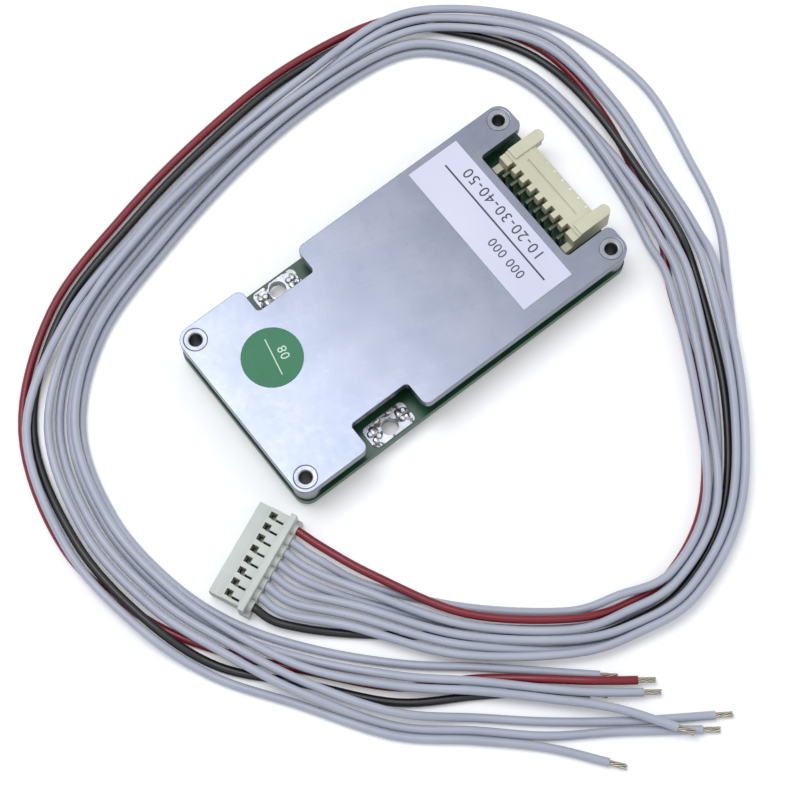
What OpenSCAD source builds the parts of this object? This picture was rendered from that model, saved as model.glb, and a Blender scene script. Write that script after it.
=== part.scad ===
// Battery management board: a circuit board under a riveted aluminium heat plate,
// with a side-entry header and its eight-wire sense lead.
// Millimetres. +X runs along the board to the header end and +Z is up.
// The origin is the centre of the board's footprint, on the surface that it rests on.

/* [Circuit board] */
// Length of the circuit board and of the heat plate
board_l = 67; // [66:0.5:75]
// Width of the circuit board and of the heat plate
board_w = 34; // [33.5:0.5:40]
// Thickness of the circuit board
board_t = 1.6; // [1.2:0.1:2.4]
// Radius of the four outer corners
corner_r = 2.4; // [1:0.1:2.8]
// From each corner hole's centre to the two edges beside it
hole_inset = 2.5; // [2.4:0.1:3]

/* [Corner rivets] */
// Diameter of the hole through each hollow rivet
rivet_bore = 2; // [1.6:0.1:2.2]
// Outer diameter of a rivet's tube
rivet_tube_d = 2.9; // [2.7:0.1:3.1]
// Diameter of the swaged ring that shows on the heat plate
rivet_ring_d = 3.9; // [3.5:0.1:4.4]
// Diameter of the foot under the board
rivet_foot_d = 4.4; // [4:0.1:4.8]
// Height of the foot, which lifts the board off the surface
foot_h = 1.4; // [1.3:0.1:3]
// Outer diameter of the spacer sleeve between board and plate
sleeve_d = 4.6; // [4.2:0.1:4.8]

/* [Heat plate] */
// Thickness of the heat plate
plate_t = 2; // [1.5:0.1:3]
// Height of the air gap between board and plate
plate_gap = 3.2; // [3:0.1:5]
// Length of each lead notch, along the plate's side
lead_notch_l = 11.3; // [10.5:0.1:13]
// Depth of each lead notch
lead_notch_d = 4.9; // [4.6:0.1:5.4]
// From the plate's plain end to the middle of the lead notches
lead_notch_from_end = 18.85; // [17:0.05:20]
// Width of the notch round the header
header_notch_w = 22.3; // [21:0.1:23.5]
// Length of the notch round the header
header_notch_l = 8.9; // [8.5:0.1:10]
// Radius of the notches' inner corners
notch_inner_r = 0.7; // [0.4:0.1:1]
// Radius at the mouth of each notch
notch_mouth_r = 1.3; // [0.6:0.1:1.6]

/* [Lead pads] */
// Diameter of the soldering hole in each lead pad
lead_hole_d = 2.9; // [2.4:0.1:3.1]
// Length of a lead pad
lead_pad_l = 8.2; // [7:0.1:9]
// Width of a lead pad
lead_pad_w = 4.1; // [3.8:0.1:4.4]
// Bare board left between a lead pad and the board's side
lead_pad_margin = 0.4; // [0.2:0.1:0.8]
// Thickness of the tinned copper on the board
pad_t = 0.2; // [0.15:0.05:0.3]

/* [Header] */
// Number of pins in the header and of wires in the lead
ways = 8; // [8:1:8]
// Distance between neighbouring pins
pitch = 2; // [1.95:0.01:2]
// Outer width of the header's shell
header_w = 19.1; // [18.8:0.1:19.6]
// Height of the header's two side arms
header_h = 4.8; // [4.6:0.1:5]
// How far the arms reach past the end of the board
header_reach = 2; // [1:0.1:3]
// Length of the side arms
arm_l = 6.5; // [6:0.1:7]
// Width of a side arm
arm_w = 2.1; // [1.9:0.1:2.2]
// Step from the arms down to the roof between them
arm_step = 0.4; // [0.2:0.1:0.6]
// Wall thickness of the header's roof and floor
header_wall = 0.5; // [0.4:0.05:0.6]
// Width of the square pins
pin_w = 0.5; // [0.4:0.05:0.6]

/* [Plug] */
// Width of the plug's body, which slides into the header
plug_w = 16.4; // [16:0.1:16.4]
// Height of the plug's body
plug_h = 3.2; // [3:0.1:3.4]
// Width of the flange at the wire end
flange_w = 17.4; // [17:0.1:18]
// Height of the flange at the wire end
flange_h = 4.6; // [4.4:0.1:5]
// Length of the plug from wire end to nose
plug_l = 7.3; // [7:0.1:8]
// Gap between the plug and the header's inner walls
plug_gap = 0.15; // [0.1:0.05:0.25]

/* [Sense lead] */
// Outer diameter of each wire's insulation
wire_d = 1.4; // [1.2:0.05:1.4]
// Diameter of the tinned strands inside
strand_d = 0.9; // [0.6:0.05:1]
// Length of strand left bare at the free end
bare_l = 2.8; // [2:0.1:5]

/* [Parts on the board] */
// Length and width of a power transistor's body
fet_size = 6.2; // [5.8:0.1:6.6]
// Height of a power transistor
fet_h = 2.3; // [2:0.1:2.5]
// Distance between neighbouring power transistors
fet_pitch = 8.2; // [7.8:0.1:8.8]
// Distance between neighbouring balancing channels
channel_pitch = 3.5; // [3.3:0.1:3.7]
// Length of the rating label
label_l = 29.9; // [28:0.1:31]
// Width of the rating label
label_w = 9.9; // [9:0.1:10.5]
// Diameter of the round check sticker
sticker_d = 10.1; // [9:0.1:11]
// Thickness of label and sticker
paper_t = 0.12; // [0.1:0.01:0.2]

/* [Hidden] */

$fn = 48;
eps = 0.5;              // how far a cutter runs past the face that it opens
fit = 0.05;             // gap round a tube or pin in its hole
channels = 7;           // cells that the board balances
board_z = foot_h;                       // underside of the board
deck_z = board_z + board_t;             // top of the board
plate_z = deck_z + plate_gap;           // underside of the heat plate
top_z = plate_z + plate_t;              // top of the heat plate
lead_x = lead_notch_from_end - board_l / 2;
pad_y = board_w / 2 - lead_pad_margin - lead_pad_w / 2;
lead_hole_y = pad_y + 0.35;
tip_x = board_l / 2 + header_reach;     // end of the header's arms
roof_h = header_h - arm_step;
cavity_w = plug_w + 2 * plug_gap;
cavity_h = plug_h + 2 * plug_gap;
cavity_l = 5.8;
pin_z = deck_z + header_wall + cavity_h / 2;
bend_x = tip_x - 9.3;                   // where the pins turn down into the board
plug_at = [-44, -22];                   // middle of the plug's wire end
plug_turn = 23.5;                       // how far the plug is turned on the surface
core_z = flange_h / 2;                  // height of the plug's terminals
seat_l = 2;                             // how deep a wire sits in the plug

function way_y(i) = (i - (ways - 1) / 2) * pitch;

// ---- Shared shapes ----

// Everything on the board is drawn about the board's own centre
module on_board(z = 0) {
    translate([-header_reach / 2, 0, z]) children();
}

module plate_outline(l, w, r) {
    square([l - 2 * r, w], center = true);
    square([l, w - 2 * r], center = true);
    for (sx = [-1, 1], sy = [-1, 1])
        translate([sx * (l / 2 - r), sy * (w / 2 - r)]) circle(r);
}

// A notch in an edge that lies along X at y = 0, open towards +Y
module notch(length, depth) {
    half = length / 2;
    inner = notch_inner_r;
    mouth = notch_mouth_r;
    translate([-half + inner, -depth]) square([length - 2 * inner, depth + eps]);
    translate([-half, -depth + inner]) square([length, depth - inner + eps]);
    for (s = [-1, 1]) {
        translate([s * (half - inner), -depth + inner]) circle(inner);
        difference() {
            translate([s * (half + mouth / 2), (eps - mouth) / 2])
                square([mouth, mouth + eps], center = true);
            translate([s * (half + mouth), -mouth]) circle(mouth);
        }
    }
}

module at_corners() {
    for (sx = [-1, 1], sy = [-1, 1])
        translate([sx * (board_l / 2 - hole_inset), sy * (board_w / 2 - hole_inset), 0]) children();
}

module block(size_xyz, at = [0, 0, 0]) {
    translate([at[0] - size_xyz[0] / 2, at[1] - size_xyz[1] / 2, at[2]]) cube(size_xyz);
}

// ---- Board, plate and rivets ----

module circuit_board() {
    color("darkgreen") on_board(board_z) difference() {
        linear_extrude(board_t) plate_outline(board_l, board_w, corner_r);
        at_corners() translate([0, 0, -eps]) cylinder(d = rivet_tube_d + 2 * fit, h = board_t + 2 * eps);
        for (side = [-1, 1])
            translate([lead_x, side * lead_hole_y, -eps])
                cylinder(d = lead_hole_d + 2 * pad_t, h = board_t + 2 * eps);
        for (i = [0 : ways - 1])
            translate([bend_x, way_y(i), -eps])
                cylinder(d = pin_w * 1.6, h = board_t + 2 * eps, $fn = 24);
    }
}

module heat_plate() {
    color("lightgray") on_board(plate_z) difference() {
        linear_extrude(plate_t) difference() {
            plate_outline(board_l, board_w, corner_r);
            for (side = [0, 1])
                mirror([0, side]) translate([lead_x, board_w / 2]) notch(lead_notch_l, lead_notch_d);
            translate([board_l / 2, 0]) rotate(-90) notch(header_notch_w, header_notch_l);
        }
        at_corners() {
            translate([0, 0, -eps]) cylinder(d = rivet_tube_d + 2 * fit, h = plate_t + 2 * eps);
            translate([0, 0, plate_t - swage_h()])
                cylinder(d1 = rivet_tube_d + 2 * fit, d2 = rivet_ring_d, h = swage_h());
        }
    }
}

// Height of the cone that a rivet's swaged end fills
function swage_h() = (rivet_ring_d - rivet_tube_d) / 2 + 0.1;

module corner_rivets() {
    tube = rivet_tube_d / 2;
    bore = rivet_bore / 2;
    ring = rivet_ring_d / 2;
    lead_in = 0.2;
    color("silver") on_board() at_corners() rotate_extrude() polygon([
        [bore, 0], [rivet_foot_d / 2 - lead_in, 0], [rivet_foot_d / 2, lead_in],
        [rivet_foot_d / 2, foot_h], [tube, foot_h], [tube, top_z - swage_h()],
        [ring - fit, top_z - fit], [bore + lead_in, top_z - fit], [bore, top_z - lead_in - fit]
    ]);
}

module spacer_sleeves() {
    color("silver") on_board(deck_z) at_corners() difference() {
        cylinder(d = sleeve_d, h = plate_gap);
        translate([0, 0, -eps]) cylinder(d = rivet_tube_d + 2 * fit, h = plate_gap + 2 * eps);
    }
}

// ---- Lead pads: tinned copper on both faces, joined by the plated hole ----

module lead_pad(side) {
    ring_d = lead_hole_d + 2 * pad_t;
    color("gainsboro") on_board(board_z) mirror([0, (1 - side) / 2, 0]) difference() {
        union() {
            for (z = [-pad_t, board_t])
                translate([lead_x, pad_y, z])
                    linear_extrude(pad_t) plate_outline(lead_pad_l, lead_pad_w, 0.9);
            translate([lead_x, lead_hole_y, 0]) cylinder(d = ring_d, h = board_t);
            // low mounds of solder over the vias beside the hole
            for (dx = [-1, 1], step = [0, 1])
                translate([
                    lead_x + dx * (lead_hole_d / 2 + 0.9 + 0.95 * step),
                    pad_y + 0.5 - step, board_t + pad_t
                ])
                    cylinder(r1 = 0.6, r2 = 0.35, h = 0.3, $fn = 24);
        }
        translate([lead_x, lead_hole_y, -eps]) cylinder(d = lead_hole_d, h = board_t + 2 * eps);
    }
}

module battery_pad() {
    lead_pad(1);
}

module load_pad() {
    lead_pad(-1);
}

// ---- Parts under the plate ----

fet_columns = 3;
fet_y = 5.6;                            // middle of each row of transistors
tab_l = 1.2;

function fet_x(i) = lead_x + (i - 1) * fet_pitch;

module at_fets() {
    for (i = [0 : fet_columns - 1], side = [-1, 1])
        translate([fet_x(i), side * fet_y, 0]) rotate(side * 90 - 90) children();
}

module power_transistors() {
    color("dimgray") on_board(deck_z) at_fets() union() {
        block([fet_size, fet_size - tab_l, fet_h], [0, tab_l / 2, 0]);
        block([fet_size - 1, tab_l + eps, 0.5], [0, (eps - fet_size + tab_l) / 2 - eps / 2, 0]);
    }
}

module transistor_leads() {
    lead_w = 0.8;
    lead_run = 1.6;
    color("silver") on_board(deck_z) at_fets()
        for (s = [-1, 1])
            translate([s * fet_size * 0.36 - lead_w / 2, fet_size / 2, 0]) {
                cube([lead_w, lead_run, 0.4]);
                translate([0, 0, 0.4]) cube([lead_w, 0.5, 0.5]);
            }
}

module thermal_pad() {
    pad_l = (fet_columns - 1) * fet_pitch + fet_size + 1;
    color("slategray") on_board(deck_z + fet_h)
        block([pad_l, 2 * fet_y + fet_size, plate_gap - fet_h], [lead_x, 0, 0]);
}

shunt_x = 3.4;
shunt_l = 6.3;
shunt_w = 3.2;
shunt_h = 0.7;
shunt_pitch = shunt_l + 1.7;
bleed_x = 9;
bleed_gap = 4.6;
bleed_l = 3.2;
bleed_w = 1.6;
bleed_h = 0.6;
sot_x = 18.2;
sot_l = 2.6;
sot_w = 1.3;
sot_lead_w = 0.4;
sot_lead_l = 0.9;
capacitor_x = 21.8;
capacitor_l = 1.6;
capacitor_w = 0.8;

function channel_y(i) = (i - (channels - 1) / 2) * channel_pitch;

// A chip resistor or capacitor: a body between two metal end caps
module chip(l, w, h) {
    cap = l * 0.16;
    block([l - 2 * cap, w, h * 0.92]);
    for (s = [-1, 1])
        block([cap, w, h], [s * (l - cap) / 2, 0, 0]);
}

module shunt_resistors() {
    color("darkslategray") on_board(deck_z)
        for (k = [-1, 0, 1])
            translate([shunt_x, k * shunt_pitch, 0]) rotate(90) chip(shunt_l, shunt_w, shunt_h);
}

module bleed_resistors() {
    color("black") on_board(deck_z)
        for (i = [0 : channels - 1], k = [0, 1])
            translate([bleed_x + k * bleed_gap, channel_y(i), 0]) chip(bleed_l, bleed_w, bleed_h);
}

module bleed_transistors() {
    color("black") on_board(deck_z)
        for (i = [0 : channels - 1])
            translate([sot_x, channel_y(i), 0]) {
                block([sot_w, sot_l, 1], [0, 0, 0.1]);
                block([sot_lead_l, sot_lead_w, 0.5], [sot_lead_l, 0, 0]);
                for (s = [-1, 1])
                    block([sot_lead_l, sot_lead_w, 0.5], [-sot_lead_l, s * (sot_l / 2 - 0.35), 0]);
            }
}

module filter_capacitors() {
    color("tan") on_board(deck_z)
        for (i = [0 : channels - 1])
            translate([capacitor_x, channel_y(i), 0]) rotate(90) chip(capacitor_l, capacitor_w, capacitor_w);
}

// ---- Parts on the underside ----

chip_at = [6, 0];
chip_l = 6.5;
chip_w = 4.4;
chip_h = 1;
chip_stand = 0.1;
chip_lead_pitch = 0.65;
chip_leads_a_side = 10;
sense_y = chip_w / 2 + 4;
sense_pitch = 1.9;

module protection_chip() {
    bevel = 0.15;
    color("black") on_board(board_z - chip_stand) translate(chip_at) mirror([0, 0, 1]) difference() {
        block([chip_l, chip_w, chip_h]);
        translate([-chip_l / 2 + 0.8, chip_w / 2 - 0.8, chip_h - 0.1]) cylinder(r = 0.35, h = eps, $fn = 24);
        for (s = [-1, 1])
            translate([0, s * chip_w / 2, chip_h]) rotate([45, 0, 0])
                cube([chip_l + 1, bevel, bevel], center = true);
    }
}

module chip_leads() {
    lead_w = 0.22;
    color("silver") on_board(board_z) translate(chip_at) mirror([0, 0, 1])
        for (i = [0 : chip_leads_a_side - 1], side = [0, 1])
            rotate(180 * side)
                translate([(i - (chip_leads_a_side - 1) / 2) * chip_lead_pitch - lead_w / 2, chip_w / 2, 0])
                    rotate([90, 0, 90]) linear_extrude(lead_w) polygon([
                        [0, 0.5], [0.35, 0.5], [0.5, 0], [1, 0], [1, 0.15], [0.6, 0.15], [0.45, 0.65], [0, 0.65]
                    ]);
}

module sense_resistors() {
    color("black") on_board(board_z) mirror([0, 0, 1])
        for (i = [0 : channels], side = [-1, 1])
            translate([chip_at[0] + (i - channels / 2) * sense_pitch, side * sense_y, 0])
                rotate(90) chip(capacitor_l, capacitor_w, 0.45);
}

// ---- Header: a side-entry shell with a comb behind it and two arms beside its mouth ----

module header_arm() {
    // plan of one arm, with its tip rounded
    tip_r = 0.9;
    translate([tip_x - arm_l, header_w / 2 - arm_w]) square([arm_l - tip_r, arm_w]);
    translate([tip_x - tip_r - eps, header_w / 2 - arm_w + tip_r])
        square([tip_r + eps, arm_w - 2 * tip_r]);
    for (y = [tip_r, arm_w - tip_r])
        translate([tip_x - tip_r, header_w / 2 - arm_w + y]) circle(tip_r);
}

module header_shell() {
    roof_front = tip_x - 2.1;
    comb_x = tip_x - 7;
    comb_l = 1.2;
    comb_drop = 2.2;
    tooth_w = pitch * 0.5;
    block_l = 1.7;
    lip_l = 1.3;
    lip_hole_d = 0.5;
    foot_l = 1.5;
    color("wheat") on_board(deck_z) difference() {
        union() {
            // body under the roof
            translate([comb_x, -header_w / 2, 0]) cube([roof_front - comb_x, header_w, roof_h]);
            // arms
            for (s = [0, 1])
                mirror([0, s, 0]) linear_extrude(header_h) header_arm();
            // shoulders and feet behind the arms
            for (s = [0, 1])
                mirror([0, s, 0]) {
                    translate([tip_x - arm_l - block_l, header_w / 2 - arm_w, 0])
                        cube([block_l, arm_w, roof_h - 0.3]);
                    translate([tip_x - arm_l - block_l - foot_l, header_w / 2 - 1.3, 0])
                        cube([foot_l + eps, 1.3, 1.6]);
                }
            // comb that keeps the pins apart
            for (i = [0 : ways - 2])
                translate([comb_x - comb_l, way_y(i) + (pitch - tooth_w) / 2, roof_h - comb_drop])
                    cube([comb_l + eps, tooth_w, comb_drop]);
        }
        // mouth that takes the plug
        translate([tip_x - cavity_l, -cavity_w / 2, header_wall])
            cube([cavity_l + eps, cavity_w, cavity_h]);
        // the roof is cut away between the arms, down to a sloping lip
        translate([roof_front - lip_l, 0, roof_h]) rotate([0, 20, 0])
            translate([0, -(header_w / 2 - arm_w), 0]) cube([3, header_w - 2 * arm_w, 2]);
        // the floor is open between the arms
        translate([roof_front - 0.8, -cavity_w / 2, -eps]) cube([3 + eps, cavity_w, header_wall + 2 * eps]);
        // long groove across the roof
        translate([tip_x - 5.1, -way_y(ways - 1) + 0.8, roof_h - 0.25])
            cube([0.35, 2 * way_y(ways - 1) - 1.6, 1]);
        // small holes along the lip, between the pins
        for (i = [0 : ways - 2])
            translate([tip_x - 2.7, way_y(i) + pitch / 2, header_wall + cavity_h - eps])
                cylinder(d = lip_hole_d, h = 2, $fn = 16);
        // holes through the back wall for the pins
        for (i = [0 : ways - 1])
            translate([comb_x - 2, way_y(i) - pin_w / 2 - fit / 2, pin_z - deck_z - pin_w / 2 - fit / 2])
                cube([5, pin_w + fit, pin_w + fit]);
    }
}

// One bent pin: along the header, round a bend and down through the board
module pin() {
    reach = tip_x - 2.4 - bend_x;
    tail = pin_z - 0.5;
    rotate([90, 0, 0]) linear_extrude(pin_w, center = true) {
        translate([0, -pin_w / 2]) square([reach, pin_w]);
        translate([-pin_w / 2, -tail]) square([pin_w, tail]);
        circle(d = pin_w, $fn = 24);
    }
}

module header_pins() {
    color("silver") on_board(pin_z)
        for (i = [0 : ways - 1])
            translate([bend_x, way_y(i), 0]) pin();
}

module pin_solder() {
    color("gainsboro") on_board(board_z)
        for (i = [0 : ways - 1])
            translate([bend_x, way_y(i), 0]) mirror([0, 0, 1]) difference() {
                cylinder(r1 = 0.8, r2 = 0.45, h = 0.6, $fn = 24);
                cube([pin_w, pin_w, 3], center = true);
            }
}

// ---- Label and sticker on the plate ----

label_from_end = 15.3;                  // from the plate's header end to the label's middle
label_y = 0.9;
sticker_from_end = 10.3;                // from the plate's plain end to the sticker's middle
sticker_y = 4.5;

module rating_label() {
    color("white") on_board(top_z) block([label_w, label_l, paper_t], [board_l / 2 - label_from_end, label_y, 0]);
}

module check_sticker() {
    color("seagreen") on_board(top_z)
        translate([sticker_from_end - board_l / 2, sticker_y, 0]) cylinder(d = sticker_d, h = paper_t);
}

// ---- Plug on the sense lead. In its own frame the wires leave at y = 0 towards -Y ----

module on_plug() {
    translate([plug_at[0], plug_at[1], 0]) rotate(plug_turn) children();
}

flange_l = 1;
hood_l = 0.8;
nose_l = 2.2;
nose_step = 0.5;
slot_w = 1.3;                           // width of a terminal's channel
slot_h = 2;                             // height of a terminal's channel
window = [1.1, 1.2];
window_y = 4.25;

module plug_housing() {
    body_z = core_z - plug_h / 2;
    color("whitesmoke") on_plug() difference() {
        union() {
            // body and its lower nose
            translate([-plug_w / 2, hood_l, body_z]) cube([plug_w, plug_l - nose_l - hood_l, plug_h]);
            translate([-plug_w / 2, hood_l, body_z]) cube([plug_w, plug_l - hood_l, plug_h - nose_step]);
            // flange that stops against the header
            translate([-flange_w / 2, hood_l, 0]) cube([flange_w, flange_l, flange_h]);
            // a half-round hood over each wire
            for (i = [0 : ways - 1])
                translate([way_y(i), hood_l, core_z]) rotate([90, 0, 0])
                    cylinder(d = pitch + 0.1, h = hood_l, $fn = 32);
            translate([-flange_w / 2, 0, 0]) cube([flange_w, hood_l, core_z - 0.4]);
        }
        for (i = [0 : ways - 1]) {
            // seat of the wire
            translate([way_y(i), seat_l, core_z]) rotate([90, 0, 0])
                cylinder(d = wire_d + 2 * fit, h = seat_l + eps, $fn = 32);
            // channel of the terminal
            translate([way_y(i) - slot_w / 2, seat_l, core_z - slot_h / 2])
                cube([slot_w, plug_l - seat_l + eps, slot_h]);
            // window and slit over the terminal's latch
            translate([way_y(i) - window[0] / 2, window_y - window[1] / 2, core_z])
                cube([window[0], window[1], plug_h]);
            translate([way_y(i) - slot_w / 2, 2.2, core_z]) cube([0.4, window_y - 2.2, plug_h]);
        }
    }
}

module plug_terminals() {
    box_w = slot_w - 0.2;
    box_h = slot_h - 0.4;
    box_y = 3.6;
    bore_w = 0.6;
    latch_w = 0.8;
    color("silver") on_plug()
        for (i = [0 : ways - 1])
            translate([way_y(i), 0, core_z]) {
                difference() {
                    translate([-box_w / 2, box_y, -box_h / 2]) cube([box_w, plug_l - box_y - 0.4, box_h]);
                    translate([-bore_w / 2, box_y + 0.6, -bore_w / 2]) cube([bore_w, plug_l, bore_w]);
                    // opening under the housing's window
                    translate([-latch_w / 2, window_y - latch_w / 2, 0]) cube([latch_w, latch_w, box_h]);
                }
                // crimped barrel that holds the strands
                translate([0, box_y, 0]) rotate([90, 0, 0])
                    cylinder(d = box_w, h = box_y - seat_l, $fn = 24);
            }
}

// ---- Wires ----

// The lead lies as one flat bundle. Each station on its way is [x, y, across], a point on
// the bundle's inner edge and the direction across it, towards the outer edge.
STATIONS = [
    [-36, -24, 203.5], [-32.5, -32.5, 208], [-25, -46, 219], [-13, -56.5, 238],
    [-4.5, -59.5, 257], [4.5, -60.5, 278], [16, -55, 308], [27, -41.5, 326], [35.5, -24, 338],
    [38, -15.5, 342], [40, -6, 346], [41.5, 8, 358], [40, 20.5, 20], [34, 31, 47],
    [26, 37, 70], [10, 38.5, 88], [-7, 37, 100], [-25, 33, 107], [-42.5, 27, 117],
    [-54.5, 16, 144], [-59, 1, 176], [-58, -13.5, 196], [-54, -25, 208], [-47, -35.5, 217],
    [-38, -46, 226], [-29, -54, 229], [-20.8, -61.6, 229]
];

// Each wire's place at each station: [distance across the bundle, layer], where layer 0
// lies on the surface and layer 1 on top of layer 0. ENDS are the free ends, as [x, y, layer].
RED = [
    [0, 0.9], [0, 1], [0, 1], [0, 1], [0.5, 0.05], [0, 0], [0, 0], [0, 0], [0, 0], [2.2, 0],
    [3.6, 0], [5.4, 0], [6.8, 0], [6.4, 0], [7.2, 0], [8.4, 0], [8.8, 0], [9.4, 0], [9.6, 0],
    [9.6, 0], [9.2, 0], [7, 0], [4.8, 0], [3.5, 0], [3.3, 0], [1.2, 0], [0.6, 0.8]
];
WHITE_1 = [
    [2, 0.9], [1.4, 0], [-1.3, 0], [-1.5, 0], [-1, 0.95], [0.2, 1], [0.4, 1], [-0.8, 1],
    [-0.2, 1], [-0.4, 0.5], [0, 0], [0, 0], [0, 0], [0, 0], [0, 0], [0, 0], [0, 0], [0, 0],
    [0, 0], [0, 0], [0, 0], [0, 0], [0, 0], [0, 0], [-0.4, 0], [-0.6, 0], [-0.8, 0]
];
WHITE_2 = [
    [4, 0.9], [2.8, 1], [1.8, 1], [1.8, 1], [1.8, 1], [1.8, 1], [2.1, 1], [0.8, 1], [1.6, 1],
    [1.5, 1], [1, 1], [0.9, 1], [0.9, 1], [0.9, 1], [0.9, 1], [0.9, 1], [0.9, 1], [0.9, 1],
    [0.9, 1], [0.9, 1], [0.9, 1], [1, 1], [1.6, 1], [3.4, 1], [3.4, 1], [3.4, 1], [3.7, 1]
];
WHITE_3 = [
    [6, 0.9], [4.2, 0], [1.6, 0], [1.2, 0], [1.95, 0], [1.5, 0], [1.8, 0], [2.3, 0], [3.3, 1],
    [3.2, 1], [2.6, 1], [1.8, 0], [1.8, 0], [1.8, 0], [1.8, 0], [1.7, 0], [1.7, 0], [1.8, 0],
    [1.8, 0], [1.8, 0], [1.8, 0], [1.8, 0], [1.8, 0], [1.8, 0], [1.8, 1], [1.9, 1], [2.2, 1]
];
WHITE_4 = [
    [8, 0.9], [5.4, 1], [3.5, 1], [3.3, 1], [4.1, 1], [4, 1], [4.4, 1], [5.1, 1], [6.2, 1],
    [6.5, 1], [6.1, 1], [6.6, 1], [6.9, 1], [4.6, 1], [3, 1], [2.6, 1], [3.4, 1], [4.5, 1],
    [4.4, 1], [5.2, 1], [5.2, 1], [5.1, 1], [5.1, 1], [7.3, 1], [9.3, 0], [9.3, 0], [9.2, 0]
];
WHITE_5 = [
    [10, 0.9], [7.1, 1], [5, 1], [4.5, 0], [4.9, 0], [4.6, 0], [5, 0], [6, 0], [9.6, 0],
    [12.2, 0], [13, 0], [14.2, 0], [11.8, 0], [8.1, 1], [6.4, 1], [4.6, 1], [5.2, 0], [5.6, 0],
    [6.2, 1], [8.7, 1], [8.8, 1], [8.8, 1], [8.9, 0], [8.9, 0], [10.8, 0], [10.8, 0], [11, 0]
];
WHITE_6 = [
    [12, 0.9], [8.8, 1], [6.6, 1], [5.5, 1], [5.6, 1], [5.5, 1], [5.9, 1], [6.6, 1], [7.9, 1],
    [8.2, 0], [7.6, 0], [8.4, 0], [8.7, 1], [6.3, 1], [4.7, 1], [3.4, 0], [3.4, 0], [3.6, 0],
    [3.6, 0], [3.6, 0], [3.5, 1], [3.4, 1], [3.4, 1], [5.5, 1], [7.5, 1], [7.3, 0], [7, 0]
];
BLACK = [
    [13.6, 0.5], [9.7, 0], [3.4, 0], [3, 0], [3.4, 0], [3.1, 0], [3.4, 0], [4, 0], [4.7, 0],
    [4.9, 1], [4.3, 1], [4.2, 1], [4.9, 0], [4.4, 0], [5.4, 0], [6.8, 0], [7, 0], [7.5, 0],
    [7.8, 0], [7.8, 0], [7.1, 1], [7.2, 1], [7.2, 0], [5.6, 0], [5.7, 0], [3.9, 0], [2.2, 0]
];
WIRES = [RED, WHITE_1, WHITE_2, WHITE_3, WHITE_4, WHITE_5, WHITE_6, BLACK];
ENDS = [
    [[-16, -66.5, 1], [-10.5, -70.5, 0.4]], [[-14.5, -66.2, 0]], [[-16, -72, 1], [-10.5, -80, 1]],
    [[-17, -68, 1], [-11, -72.5, 0.4]], [[-17.5, -75, 0], [-7.5, -82.5, 0]], [[-22, -77.5, 0]],
    [[-15.5, -74.5, 0], [-4.5, -82, 0]], [[-17.5, -67.5, 0]]
];

layer_0 = 0.8;                          // height of a wire's middle in layer 0
layer_rise = 1.6;                       // and how much higher layer 1 is
tube_sides = 8;

function layer_z(n) = layer_0 + layer_rise * n;

function on_station(s, place) = [
    s[0] + place[0] * cos(s[2]), s[1] + place[0] * sin(s[2]), layer_z(place[1])
];

// A point d outside the plug's wire end, in line with terminal i
function out_of_plug(i, d) = [
    plug_at[0] - way_y(i) * cos(plug_turn) + d * sin(plug_turn),
    plug_at[1] - way_y(i) * sin(plug_turn) - d * cos(plug_turn),
    core_z
];

function route(i) = concat(
    [out_of_plug(i, -seat_l), out_of_plug(i, 0)],
    [for (k = [0 : len(STATIONS) - 1]) on_station(STATIONS[k], WIRES[i][k])],
    [for (e = ENDS[i]) [e[0], e[1], layer_z(e[2])]]
);

// Catmull-Rom in plan; the height eases from one point to the next and never overshoots
function between(a, b, c, d, t) = let (
    flat = 0.5 * (2 * b + (c - a) * t + (2 * a - 5 * b + 4 * c - d) * t * t
        + (3 * b - a - 3 * c + d) * t * t * t)
) [flat[0], flat[1], b[2] + (c[2] - b[2]) * t * t * (3 - 2 * t)];

function smooth(p) = let (n = len(p) - 1) concat(
    [for (k = [0 : n - 1]) let (
        a = k == 0 ? 2 * p[0] - p[1] : p[k - 1],
        d = k == n - 1 ? 2 * p[n] - p[n - 1] : p[k + 2],
        steps = norm(p[k + 1] - p[k]) > 11 ? 3 : 2
    ) each [for (j = [0 : steps - 1]) between(a, p[k], p[k + 1], d, j / steps)]],
    [p[n]]
);

function unit(v) = v / norm(v);

function ring(path, k) = let (
    n = len(path) - 1,
    along = unit(path[min(k + 1, n)] - path[max(k - 1, 0)]),
    side = unit(cross(along, [0, 0, 1])),
    up = cross(side, along)
) [for (j = [0 : tube_sides - 1]) let (a = 360 * (j + 0.5) / tube_sides)
    path[k] + wire_d / 2 * (cos(a) * side + sin(a) * up)];

module tube(points) {
    path = smooth(points);
    n = len(path);
    m = tube_sides;
    polyhedron(
        points = [for (k = [0 : n - 1]) each ring(path, k)],
        faces = concat(
            [[for (j = [0 : m - 1]) j]],
            [for (k = [0 : n - 2], j = [0 : m - 1]) let (j2 = (j + 1) % m)
                [k * m + j2, k * m + j, (k + 1) * m + j, (k + 1) * m + j2]],
            [[for (j = [m - 1 : -1 : 0]) (n - 1) * m + j]]
        )
    );
}

module wire(i, paint) {
    color(paint) tube(route(i));
}

module wire_red() {
    wire(0, "firebrick");
}

module wire_white_1() {
    wire(1, "lavender");
}

module wire_white_2() {
    wire(2, "lavender");
}

module wire_white_3() {
    wire(3, "lavender");
}

module wire_white_4() {
    wire(4, "lavender");
}

module wire_white_5() {
    wire(5, "lavender");
}

module wire_white_6() {
    wire(6, "lavender");
}

module wire_black() {
    wire(7, "black");
}

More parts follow.
